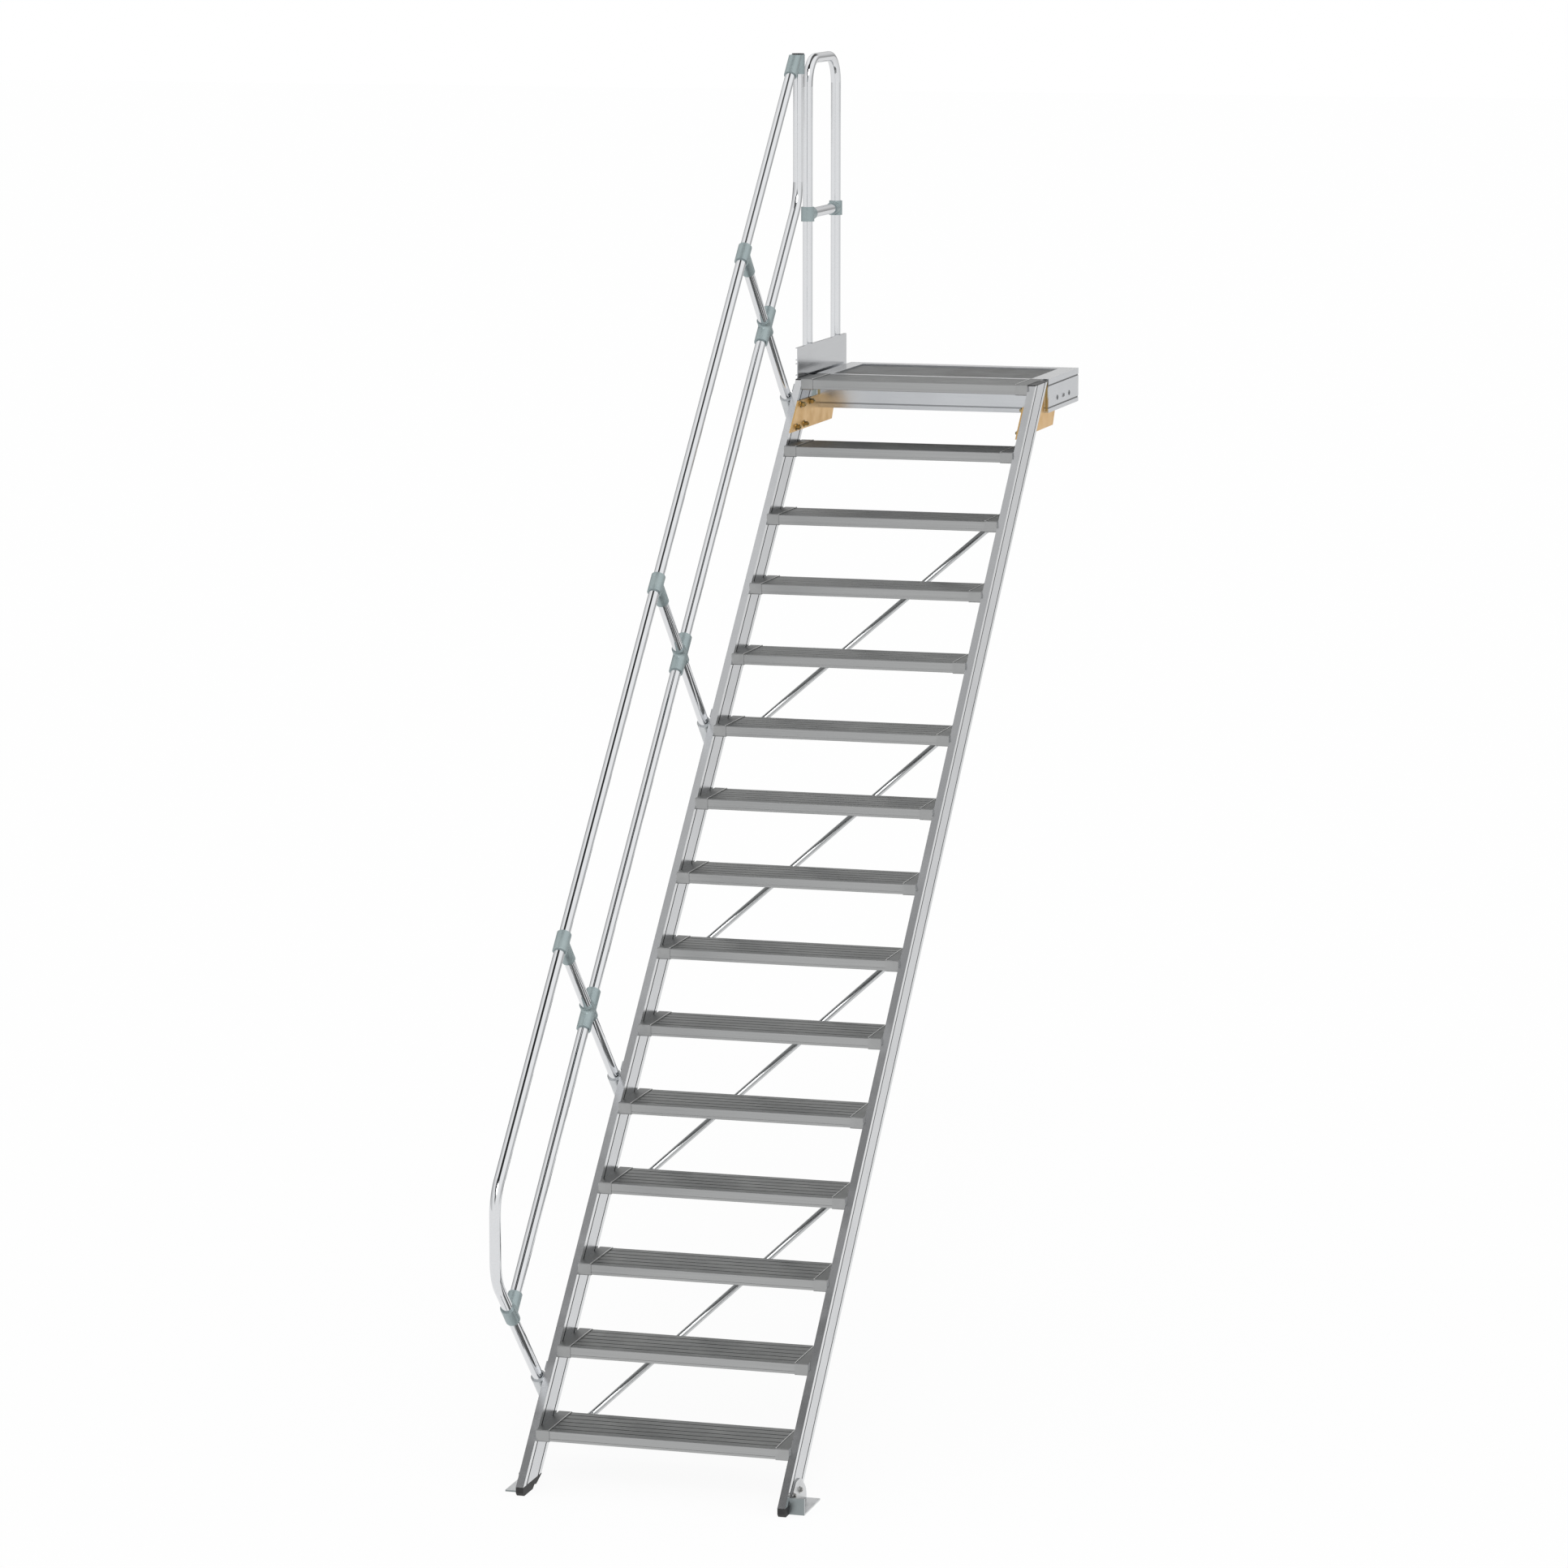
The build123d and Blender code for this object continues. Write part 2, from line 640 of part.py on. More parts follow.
# Post brackets on the outer face of the left stringer
with BuildPart() as brackets:
    for along in (*post_alongs, lowest_post_along):
        base = Plane(
            origin=(-(half_clear + stringer_width), *on_slope(along, bracket_middle_off)),
            x_dir=slope_dir,
            z_dir=(-1, 0, 0),
        )
        socket = Plane(
            origin=(handrail_x, *on_slope(along, bracket_socket_bottom)), x_dir=(1, 0, 0), z_dir=square_dir
        )
        with BuildSketch(base):
            RectangleRounded(bracket_length, bracket_width, bracket_thickness)
            with Locations(((bracket_length - bracket_tab_width) / 2, -(bracket_width + bracket_tab_length) / 2)):
                Rectangle(bracket_tab_width, bracket_tab_length + 2 * bracket_thickness)
        extrude(amount=bracket_thickness)
        with BuildSketch(socket):
            Circle(clamp_radius)
        extrude(amount=bracket_socket_top - bracket_socket_bottom)
        with BuildSketch(socket.offset(post_foot_off - bracket_socket_bottom)):
            Circle(tube_radius + fit)
        extrude(amount=bracket_socket_top - post_foot_off, mode=Mode.SUBTRACT)
brackets.part.label = "post_brackets"
export_step(brackets.part, "parts/post_brackets.step")

# Guard hoop beside the platform
guard_front_y = nosing_y + guard_front_back
guard_rear_y = guard_front_y + guard_span
guard_foot_z = deck_z - guard_bottom
with BuildPart() as guard:
    with BuildLine(Plane.YZ.offset(guard_x)) as guard_path:
        FilletPolyline(
            (guard_front_y, guard_foot_z),
            (guard_front_y, deck_z + guard_top),
            (guard_rear_y, deck_z + guard_top),
            (guard_rear_y, guard_foot_z),
            radius=guard_bend,
        )
    with BuildSketch(Plane(origin=guard_path.line @ 0, x_dir=(1, 0, 0), z_dir=guard_path.line % 0)):
        Circle(tube_radius)
        Circle(tube_radius - tube_wall, mode=Mode.SUBTRACT)
    sweep(path=guard_path.line)
guard.part.label = "guard_hoop"
export_step(guard.part, "parts/guard_hoop.step")

# Crossbar of the guard with its two clamps
crossbar_z = deck_z + crossbar_height
crossbar_start = guard_front_y + butt_reach
crossbar_length = guard_span - 2 * butt_reach
bar_plane = Plane(origin=(guard_x, crossbar_start, crossbar_z), x_dir=(1, 0, 0), z_dir=(0, 1, 0))
with BuildPart() as crossbar:
    with BuildSketch(bar_plane):
        Circle(tube_radius)
        Circle(tube_radius - tube_wall, mode=Mode.SUBTRACT)
    extrude(amount=crossbar_length)
crossbar.part.label = "guard_crossbar"
export_step(crossbar.part, "parts/guard_crossbar.step")

bar_sleeve = Plane.XY.offset(crossbar_z - crossbar_clamp_height / 2)
bar_arms = [
    Plane(origin=(guard_x, post_y, crossbar_z), x_dir=(1, 0, 0), z_dir=(0, sign, 0))
    for post_y, sign in ((guard_front_y, 1), (guard_rear_y, -1))
]
post_places = [(guard_x, guard_front_y), (guard_x, guard_rear_y)]
with BuildPart() as bar_clamps:
    with BuildSketch(bar_sleeve):
        with Locations(*post_places):
            Circle(clamp_radius)
    extrude(amount=crossbar_clamp_height)
    with BuildSketch(*bar_arms):
        Circle(clamp_radius - stub_ease)
    extrude(amount=crossbar_stub)
    fillet(bar_clamps.edges().filter_by(GeomType.BSPLINE), crossbar_clamp_blend)
    with BuildSketch(*[arm.offset(butt_reach) for arm in bar_arms]):
        Circle(tube_radius + fit)
    extrude(amount=crossbar_stub - butt_reach + bore_overrun, mode=Mode.SUBTRACT)
    with BuildSketch(bar_sleeve.offset(-bore_overrun)):
        with Locations(*post_places):
            Circle(tube_radius + fit)
    extrude(amount=crossbar_clamp_height + 2 * bore_overrun, mode=Mode.SUBTRACT)
bar_clamps.part.label = "crossbar_clamps"
export_step(bar_clamps.part, "parts/crossbar_clamps.step")

# Clamps that hold the guard to the platform's left rail
guard_clamp_height = guard_bottom - toe_bottom_drop
with BuildPart() as guard_clamps:
    for post_y in (guard_front_y, guard_rear_y):
        with BuildSketch(Plane.XY.offset(guard_foot_z)):
            with Locations((guard_x, post_y)):
                Circle(guard_clamp_half_width)
            with Locations((guard_x + guard_outset / 2, post_y)):
                Rectangle(guard_outset, 2 * guard_clamp_half_width)
            with Locations((guard_x, post_y)):
                Circle(tube_radius + fit, mode=Mode.SUBTRACT)
        extrude(amount=guard_clamp_height)
guard_clamps.part.label = "guard_clamps"
export_step(guard_clamps.part, "parts/guard_clamps.step")

# Toe board along the left edge of the platform
toe_inner = -(rail_outer + toe_gap)
toe_front = nosing_y + toe_front_back
toe_length = -toe_rear_short - toe_front
toe_top = deck_z + toe_height
toe_low = deck_z - toe_bottom_drop
rib_middle = toe_inner - toe_thickness - toe_rib / 2
with BuildPart() as toe_board:
    with BuildSketch(Plane(origin=(0, toe_front, 0), x_dir=(1, 0, 0), z_dir=(0, -1, 0))):
        with Locations((toe_inner - toe_thickness / 2, (toe_top + toe_low) / 2)):
            Rectangle(toe_thickness, toe_top - toe_low)
        with Locations((rib_middle, toe_top - toe_rib_thickness / 2)):
            Rectangle(toe_rib, toe_rib_thickness)
        for drop in toe_rib_drops:
            with Locations((rib_middle, toe_top - drop)):
                Rectangle(toe_rib, toe_rib_thickness)
    extrude(amount=-toe_length)
toe_board.part.label = "toe_board"
export_step(toe_board.part, "parts/toe_board.step")
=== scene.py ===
# %% [markdown]
# # An aluminium stair with a small top platform
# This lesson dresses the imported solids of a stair: two hollow stringers, fourteen grooved treads,
# a bent tube handrail and a platform with a guard hoop. The solids are already in their true place
# and size, so the lesson adds what solids alone cannot show: finishes, fasteners and light.

# %% Load the solids
import math

import bpy
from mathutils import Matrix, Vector


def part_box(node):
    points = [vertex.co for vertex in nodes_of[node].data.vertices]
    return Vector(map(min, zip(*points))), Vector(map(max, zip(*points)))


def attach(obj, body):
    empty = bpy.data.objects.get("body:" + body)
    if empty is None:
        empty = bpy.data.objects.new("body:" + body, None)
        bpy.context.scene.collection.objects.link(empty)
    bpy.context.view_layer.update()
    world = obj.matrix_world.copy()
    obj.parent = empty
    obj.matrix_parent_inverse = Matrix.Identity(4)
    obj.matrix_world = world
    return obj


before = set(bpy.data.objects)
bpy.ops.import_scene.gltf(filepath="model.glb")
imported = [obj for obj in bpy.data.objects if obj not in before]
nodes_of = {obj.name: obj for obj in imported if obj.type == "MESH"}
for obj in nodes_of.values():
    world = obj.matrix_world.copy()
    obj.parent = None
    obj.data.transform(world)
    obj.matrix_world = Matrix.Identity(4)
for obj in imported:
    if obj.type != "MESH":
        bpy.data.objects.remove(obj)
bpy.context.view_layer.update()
scene = bpy.context.scene
scene.view_settings.view_transform = "Standard"
print("solids loaded:", len(nodes_of))

# %% [markdown]
# The flight rises at 45 degrees. A few lengths of the stair place the fasteners later on, so they
# are written once, in metres: the step, the nosing of the platform and the faces that carry bolts.

# %% Main lengths of the stair
step = 0.210
tread_count = 14
tread_thickness = 0.033
nosing_y = -0.700
deck_z = 0.0585
ground_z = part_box("left_rubber_foot")[0][2]
slope = math.radians(45.0)
stringer_middle_off = -0.0761
plate_inner = 0.395
angle_outer = 0.429
bracket_outer = -0.4305
rail_outer = 0.414
rail_web = 0.014
sides = (("left", -1), ("right", 1))


def on_slope(along, off):
    return (
        nosing_y + along * math.cos(slope) - off * math.sin(slope),
        deck_z + along * math.sin(slope) + off * math.cos(slope),
    )


print("ground level", round(ground_z, 4))

# %% [markdown]
# The room, the floor and the finishes are all node trees. Writing each node and link by hand would
# take hundreds of lines, so four short helpers do it: one sets a socket or links it, and the others
# add a ramp, a piece of arithmetic or a blend and return its output.

# %% Helpers for node trees


def feed(tree, socket, value):
    if isinstance(value, bpy.types.NodeSocket):
        tree.links.new(value, socket)
    else:
        socket.default_value = value


def ramp(tree, value, start, stop, low=0.0, high=1.0, smooth=True):
    node = tree.nodes.new("ShaderNodeMapRange")
    if smooth:
        node.interpolation_type = "SMOOTHSTEP"
    labels = ("Value", "From Min", "From Max", "To Min", "To Max")
    for label, number in zip(labels, (value, start, stop, low, high)):
        feed(tree, node.inputs[label], number)
    return node.outputs["Result"]


def maths(tree, operation, *values):
    node = tree.nodes.new("ShaderNodeMath")
    node.operation = operation
    for socket, value in zip(node.inputs, values):
        feed(tree, socket, value)
    return node.outputs[0]


def blend(tree, factor, first, second):
    node = tree.nodes.new("ShaderNodeMix")
    for label, value in (("Factor", factor), ("A", first), ("B", second)):
        feed(tree, node.inputs[label], value)
    return node.outputs["Result"]


print("helpers ready")

# %% [markdown]
# The camera stands far off to the right and a little above the platform, with a long lens, so that
# the stair is nearly drawn in parallel lines. Its place was found by matching the tread edges.

# %% Camera
camera_data = bpy.data.cameras.new("camera")
camera_data.lens = 134.68
camera_data.sensor_width = 36.0
camera_data.clip_end = 500.0
camera = bpy.data.objects.new("camera", camera_data)
look_down = math.radians(9.2466)
look_left = math.radians(16.043)
camera.location = (5.10495, -20.05571, 1.92589)
camera.rotation_euler = (math.pi / 2 - look_down, 0.0, look_left)
scene.collection.objects.link(camera)
scene.camera = camera
print("camera set")

# %% [markdown]
# Bare metal shows its surroundings more than its own colour. A white room alone would make every
# face equally pale, so the room that the metal reflects has four shades. A soft dark area high up in
# front gives the stringers their falling shade. A dark strip overhead, like the gap between two
# lamps, draws the line along the sloping tubes. The back wall is grey near the floor, which darkens
# the upper treads, and the left wall is a little grey, which gives the tubes their left edge.

# %% Studio room
world = bpy.data.worlds.new("studio_room")
scene.world = world
world.use_nodes = True
room = world.node_tree
room.nodes.clear()
room_out = room.nodes.new("ShaderNodeOutputWorld")
room_light = room.nodes.new("ShaderNodeBackground")
room_light.inputs["Color"].default_value = (1.0, 1.0, 1.0, 1.0)
room_dir = room.nodes.new("ShaderNodeTexCoord").outputs["Generated"]
room_path = room.nodes.new("ShaderNodeLightPath")
room_axes = room.nodes.new("ShaderNodeSeparateXYZ")
room.links.new(room_dir, room_axes.inputs["Vector"])
room_x, room_y, room_z = room_axes.outputs

dark_middle = room.nodes.new("ShaderNodeVectorMath")
dark_middle.operation = "DOT_PRODUCT"
dark_middle.inputs[1].default_value = Vector((-0.05, -0.5, 0.865)).normalized()
room.links.new(room_dir, dark_middle.inputs[0])
dark_rim = math.cos(math.radians(27.5))
dark_core = math.cos(math.radians(21.0))
ceiling = ramp(room, dark_middle.outputs["Value"], dark_rim, dark_core, 1.0, 0.1)

strip_x = 0.05
from_strip = maths(room, "ABSOLUTE", maths(room, "SUBTRACT", room_x, strip_x))
strip = ramp(room, from_strip, 0.12, 0.34, 0.1, 1.1)
overhead = ramp(room, room_z, 0.25, 0.5, smooth=False)
strip_overhead = blend(room, overhead, 1.0, strip)

behind = ramp(room, room_y, -0.3, 0.8)
low_down = ramp(room, room_z, 0.0, 0.45, 0.6, 0.0)
back_wall = maths(room, "MULTIPLY", behind, low_down)
side_wall = ramp(room, room_x, -0.9, -0.5, 0.7, 1.0)
walls = maths(room, "SUBTRACT", side_wall, back_wall)

shade = maths(room, "MULTIPLY", maths(room, "MULTIPLY", strip_overhead, ceiling), walls)
even_light = 0.85
by_gloss = blend(room, room_path.outputs["Is Glossy Ray"], even_light, shade)
by_camera = blend(room, room_path.outputs["Is Camera Ray"], by_gloss, 1.0)
room.links.new(by_camera, room_light.inputs["Strength"])
room.links.new(room_light.outputs["Background"], room_out.inputs["Surface"])

key_data = bpy.data.lights.new("soft_key", "SUN")
key_data.energy = 0.7
key_data.angle = math.radians(25.0)
key = bpy.data.objects.new("soft_key", key_data)
key.rotation_euler = (math.radians(38.0), math.radians(18.0), 0.0)
scene.collection.objects.link(key)
print("room and key light set")

# %% [markdown]
# The floor is a plain pale sheet at the level of the rubber feet. The camera sees mostly a white glow
# mixed with a dull surface that keeps the shadow of the stair. Reflections see a glow that falls off
# behind the stair, like the back wall of the room. The lower side of the sheet is clear, so that the
# stair can be looked at from below too.

# %% Floor
reach = 90.0
floor_mesh = bpy.data.meshes.new("floor")
floor_mesh.from_pydata(
    [(x * reach, y * reach, ground_z) for x, y in ((-1, -1), (1, -1), (1, 1), (-1, 1))], [], [(0, 1, 2, 3)]
)
floor = bpy.data.objects.new("floor", floor_mesh)
scene.collection.objects.link(floor)
floor_paint = bpy.data.materials.new("floor_paint")
floor_paint.use_nodes = True
paint = floor_paint.node_tree
paint.nodes.clear()
paint_out = paint.nodes.new("ShaderNodeOutputMaterial")
dull = paint.nodes.new("ShaderNodeBsdfDiffuse")
dull.inputs["Color"].default_value = (0.9, 0.9, 0.9, 1.0)
glow = paint.nodes.new("ShaderNodeEmission")
clear = paint.nodes.new("ShaderNodeBsdfTransparent")
floor_place = paint.nodes.new("ShaderNodeTexCoord")
floor_axes = paint.nodes.new("ShaderNodeSeparateXYZ")
floor_path = paint.nodes.new("ShaderNodeLightPath")
floor_side = paint.nodes.new("ShaderNodeNewGeometry")
paint.links.new(floor_place.outputs["Object"], floor_axes.inputs["Vector"])
far_back = ramp(paint, floor_axes.outputs["Y"], -3.0, 14.0, 1.0, 0.85)
to_camera = floor_path.outputs["Is Camera Ray"]
paint.links.new(blend(paint, to_camera, far_back, 1.0), glow.inputs["Strength"])
camera_share = 0.92
seen_share = maths(
    paint, "ADD", maths(paint, "MULTIPLY", to_camera, camera_share), floor_path.outputs["Is Glossy Ray"]
)
seen_share.node.use_clamp = True


def mix_shaders(share, first, second):
    node = paint.nodes.new("ShaderNodeMixShader")
    for socket, source in zip(node.inputs, (share, first, second)):
        paint.links.new(source, socket)
    return node.outputs[0]


from_above = mix_shaders(seen_share, dull.outputs[0], glow.outputs[0])
either_side = mix_shaders(floor_side.outputs["Backfacing"], from_above, clear.outputs[0])
paint.links.new(either_side, paint_out.inputs["Surface"])
floor_mesh.materials.append(floor_paint)
print("floor laid")

# %% [markdown]
# Several finishes share the same effects. Extruded and drawn metal has fine streaks along its
# length, handled metal has soft smudges, and cast metal has a pitted skin. Two more masks mark the
# faces that look one way and the pair of bands on either side of a middle line. Each effect is a
# small shader group, built once, that puts out a mask or a height. The materials set how strong it is.

# %% Shader groups for shared effects


def new_group(name, inputs, output):
    group = bpy.data.node_groups.new(name, "ShaderNodeTree")
    for label, kind, value in inputs:
        socket = group.interface.new_socket(label, in_out="INPUT", socket_type="NodeSocket" + kind)
        if value is not None:
            socket.default_value = value
    group.interface.new_socket(output, in_out="OUTPUT", socket_type="NodeSocketFloat")
    enter = group.nodes.new("NodeGroupInput").outputs
    leave = group.nodes.new("NodeGroupOutput").inputs[output]
    return group, enter, leave


streaks, enter, leave = new_group(
    "length_streaks", [("Vector", "Vector", None), ("Fineness", "Vector", (300.0, 3.0, 300.0))], "Streak"
)
stretch = streaks.nodes.new("ShaderNodeVectorMath")
stretch.operation = "MULTIPLY"
streak_noise = streaks.nodes.new("ShaderNodeTexNoise")
streak_noise.inputs["Scale"].default_value = 1.0
streak_noise.inputs["Detail"].default_value = 3.0
streaks.links.new(enter["Vector"], stretch.inputs[0])
streaks.links.new(enter["Fineness"], stretch.inputs[1])
streaks.links.new(stretch.outputs["Vector"], streak_noise.inputs["Vector"])
streaks.links.new(streak_noise.outputs["Fac"], leave)

smudges, enter, leave = new_group(
    "handling_smudges", [("Vector", "Vector", None), ("Scale", "Float", 6.0)], "Smudge"
)
smudge_noise = smudges.nodes.new("ShaderNodeTexNoise")
smudge_noise.inputs["Detail"].default_value = 5.0
smudge_noise.inputs["Roughness"].default_value = 0.6
smudges.links.new(enter["Vector"], smudge_noise.inputs["Vector"])
smudges.links.new(enter["Scale"], smudge_noise.inputs["Scale"])
smudges.links.new(ramp(smudges, smudge_noise.outputs["Fac"], 0.42, 0.68), leave)

cast_skin, enter, leave = new_group(
    "cast_skin", [("Vector", "Vector", None), ("Scale", "Float", 700.0)], "Height"
)
pits = cast_skin.nodes.new("ShaderNodeTexVoronoi")
pits.feature = "SMOOTH_F1"
cast_skin.links.new(enter["Vector"], pits.inputs["Vector"])
cast_skin.links.new(enter["Scale"], pits.inputs["Scale"])
cast_skin.links.new(pits.outputs["Distance"], leave)

towards, enter, leave = new_group("faces_towards", [("Direction", "Vector", (0.0, 0.0, 1.0))], "Facing")
surface = towards.nodes.new("ShaderNodeNewGeometry")
facing = towards.nodes.new("ShaderNodeVectorMath")
facing.operation = "DOT_PRODUCT"
towards.links.new(surface.outputs["Normal"], facing.inputs[0])
towards.links.new(enter["Direction"], facing.inputs[1])
towards.links.new(ramp(towards, facing.outputs["Value"], 0.7, 0.95, smooth=False), leave)

band, enter, leave = new_group(
    "distance_band", [(label, "Float", 0.0) for label in ("Value", "Middle", "Place", "Half Width")], "Band"
)
from_middle = maths(band, "ABSOLUTE", maths(band, "SUBTRACT", enter["Value"], enter["Middle"]))
band.links.new(maths(band, "COMPARE", from_middle, enter["Place"], enter["Half Width"]), leave)
print("shader groups:", [group.name for group in bpy.data.node_groups])

# %% [markdown]
# Every finish starts from the same Principled shader. The helper below places the groups it needs
# and blends two colours by a mask, so that no surface is a single flat colour. Castings, mouldings
# and fasteners need only smudges between two tones, so one function makes all of those.

# %% Helpers for the finishes
facing_front = (0.0, -1.0, 0.0)


class Finish:
    def __init__(self, name, metallic, turn=(0.0, 0.0, 0.0)):
        self.material = bpy.data.materials.new(name)
        self.material.use_nodes = True
        self.tree = self.material.node_tree
        self.shader = self.tree.nodes["Principled BSDF"]
        self.shader.inputs["Metallic"].default_value = metallic
        place = self.tree.nodes.new("ShaderNodeTexCoord")
        mapping = self.tree.nodes.new("ShaderNodeMapping")
        mapping.inputs["Rotation"].default_value = turn
        self.tree.links.new(place.outputs["Object"], mapping.inputs["Vector"])
        self.place = mapping.outputs["Vector"]

    def group(self, group, **values):
        node = self.tree.nodes.new("ShaderNodeGroup")
        node.node_tree = group
        if "Vector" in node.inputs:
            self.tree.links.new(self.place, node.inputs["Vector"])
        for label, value in values.items():
            feed(self.tree, node.inputs[label.replace("_", " ")], value)
        return node.outputs[0]

    def axis(self, label):
        parts = self.tree.nodes.new("ShaderNodeSeparateXYZ")
        self.tree.links.new(self.place, parts.inputs["Vector"])
        return parts.outputs[label]

    def maths(self, operation, *values):
        return maths(self.tree, operation, *values)

    def colours(self, mask, first, second):
        mix = self.tree.nodes.new("ShaderNodeMix")
        mix.data_type = "RGBA"
        self.tree.links.new(mask, mix.inputs["Factor"])
        for socket, value in ((mix.inputs[6], first), (mix.inputs[7], second)):
            feed(self.tree, socket, (*value, 1.0) if isinstance(value, tuple) else value)
        return mix.outputs[2]

    def base(self, colour):
        self.tree.links.new(colour, self.shader.inputs["Base Color"])

    def rough(self, mask, low, high):
        spread = ramp(self.tree, mask, 0.0, 1.0, low, high, smooth=False)
        self.tree.links.new(spread, self.shader.inputs["Roughness"])

    def bump(self, height, strength, distance):
        bump = self.tree.nodes.new("ShaderNodeBump")
        bump.inputs["Strength"].default_value = strength
        bump.inputs["Distance"].default_value = distance
        self.tree.links.new(height, bump.inputs["Height"])
        self.tree.links.new(bump.outputs["Normal"], self.shader.inputs["Normal"])


def two_tone(name, metallic, scale, first, second, rough):
    finish = Finish(name, metallic)
    marks = finish.group(smudges, Scale=scale)
    finish.base(finish.colours(marks, first, second))
    finish.rough(marks, *rough)
    return finish


def dress(finish, names):
    for name in names:
        mesh = nodes_of[name].data
        mesh.materials.clear()
        mesh.materials.append(finish.material)
    print(finish.material.name, "on", len(names), "solids")


# %% [markdown]
# The stringers are extruded box profiles. Their grain runs up the slope, so the coordinates are
# turned by 45 degrees before the streaks are stretched along them. Across the slope, each side face
# has a paler strip along both edges, a painted sheen, and a dark line of painted shade where the two
# grooves run. The narrow front face is painted a little brighter as a highlight.

# %% Stringer finish
stringer_finish = Finish("stringer_aluminium", 1.0, turn=(-slope, 0.0, 0.0))
grain = stringer_finish.group(streaks, Fineness=(420.0, 2.0, 420.0))
marks = stringer_finish.group(smudges, Scale=5.0)
across = {
    "Value": stringer_finish.axis("Z"),
    "Middle": (deck_z - nosing_y) * math.cos(slope) + stringer_middle_off,
}
# painted shade: the grooves and the flat face beside them are coloured near black
groove_shade = stringer_finish.group(band, Place=0.039, Half_Width=0.004, **across)
# painted sheen: a paler band along both edges of each side face
edge_sheen = stringer_finish.group(band, Place=0.0515, Half_Width=0.0103, **across)
# painted highlight: the front face is coloured brighter than the sides
front = stringer_finish.group(towards, Direction=(0.0, -math.sin(slope), math.cos(slope)))
drawn = stringer_finish.colours(grain, (0.53, 0.54, 0.555), (0.6, 0.61, 0.625))
banded = stringer_finish.colours(edge_sheen, drawn, (0.68, 0.69, 0.7))
facing_highlight = stringer_finish.colours(front, banded, (0.68, 0.69, 0.705))
stringer_finish.base(stringer_finish.colours(groove_shade, facing_highlight, (0.02, 0.022, 0.025)))
stringer_finish.rough(marks, 0.2, 0.26)
stringer_finish.bump(grain, 0.03, 0.0003)
dress(stringer_finish, ["left_stringer", "right_stringer"])

# %% [markdown]
# The platform frame and toe board are extrusions too, but they lie along the ground plan, so their
# grain is stretched along both level directions. The tops of the flanges are painted bright as a
# highlight. The grooves of the side rails are painted dark as shade, and the one in front is painted
# lighter because it catches more light. The toe board has no grooves, so it has a finish of its own.

# %% Frame and toe board finish
level_grain = (4.0, 4.0, 420.0)
board_finish = Finish("board_aluminium", 1.0)
grain = board_finish.group(streaks, Fineness=level_grain)
marks = board_finish.group(smudges, Scale=7.0)
board_finish.base(board_finish.colours(grain, (0.49, 0.5, 0.515), (0.55, 0.56, 0.575)))
board_finish.rough(marks, 0.16, 0.19)
board_finish.bump(grain, 0.006, 0.0002)
dress(board_finish, ["toe_board"])

frame_finish = Finish("frame_aluminium", 1.0)
grain = frame_finish.group(streaks, Fineness=level_grain)
marks = frame_finish.group(smudges, Scale=7.0)
# painted highlight: faces that look up are coloured almost white
top = frame_finish.group(towards)
front = frame_finish.group(towards, Direction=facing_front)
grooves_middle = deck_z - 0.0615
# painted shade: the rail grooves are coloured dark, less dark on faces that look to the front
groove_shade = frame_finish.group(
    band, Value=frame_finish.axis("Z"), Middle=grooves_middle, Place=0.0385, Half_Width=0.0027
)
drawn = frame_finish.colours(grain, (0.535, 0.55, 0.57), (0.615, 0.63, 0.65))
facing_highlight = frame_finish.colours(top, drawn, (0.93, 0.94, 0.95))
groove_shade_colour = frame_finish.colours(front, (0.045, 0.048, 0.052), (0.28, 0.29, 0.3))
frame_finish.base(frame_finish.colours(groove_shade, facing_highlight, groove_shade_colour))
frame_finish.rough(marks, 0.22, 0.25)
frame_finish.bump(grain, 0.006, 0.0002)
dress(
    frame_finish, ["platform_left_rail", "platform_right_rail", "platform_front_channel", "platform_rear_channel"]
)

# %% [markdown]
# The treads carry feet, so their tops are rougher than their fronts. The tops are also painted darker
# as shade, and the groove floors are painted near black as shade. The top of each tread is a whole
# number of steps below the deck. The remainder of that division is zero on the lands and the groove
# depth on the groove floors, which gives a clean mask.

# %% Tread finish
tread_groove = 0.0025
tread_finish = Finish("tread_aluminium", 1.0)
grain = tread_finish.group(streaks, Fineness=(2.5, 380.0, 380.0))
marks = tread_finish.group(smudges, Scale=9.0)
top = tread_finish.group(towards)
below = tread_finish.maths("SUBTRACT", deck_z + step, tread_finish.axis("Z"))
depth = tread_finish.maths("MODULO", below, step)
# painted shade: the groove floors on the tops are coloured near black
groove_shade = tread_finish.maths("COMPARE", depth, tread_groove, 0.0012)
groove_top = tread_finish.maths("MULTIPLY", groove_shade, top)
front_colour = tread_finish.colours(grain, (0.34, 0.345, 0.345), (0.43, 0.435, 0.435))
land_colour = tread_finish.colours(marks, (0.22, 0.225, 0.223), (0.275, 0.28, 0.275))
# painted shade: faces that look up take the darker land colour
shaded_top = tread_finish.colours(top, front_colour, land_colour)
tread_finish.base(tread_finish.colours(groove_top, shaded_top, (0.05, 0.05, 0.05)))
tread_finish.rough(top, 0.3, 0.42)
tread_finish.bump(grain, 0.06, 0.0004)
dress(tread_finish, [f"tread_{number:02d}" for number in range(1, tread_count + 1)] + ["platform_nosing"])

# %% [markdown]
# The deck planks are the darkest metal: ribbed, walked on and shaded by the frame around them.

# %% Deck finish
deck_finish = Finish("deck_aluminium", 1.0)
grain = deck_finish.group(streaks, Fineness=(3.0, 420.0, 420.0))
marks = deck_finish.group(smudges, Scale=8.0)
dull_deck = deck_finish.colours(grain, (0.16, 0.165, 0.165), (0.24, 0.245, 0.245))
deck_finish.base(deck_finish.colours(marks, dull_deck, (0.21, 0.21, 0.205)))
deck_finish.rough(marks, 0.4, 0.52)
deck_finish.bump(grain, 0.08, 0.0005)
dress(deck_finish, ["deck_planks"])
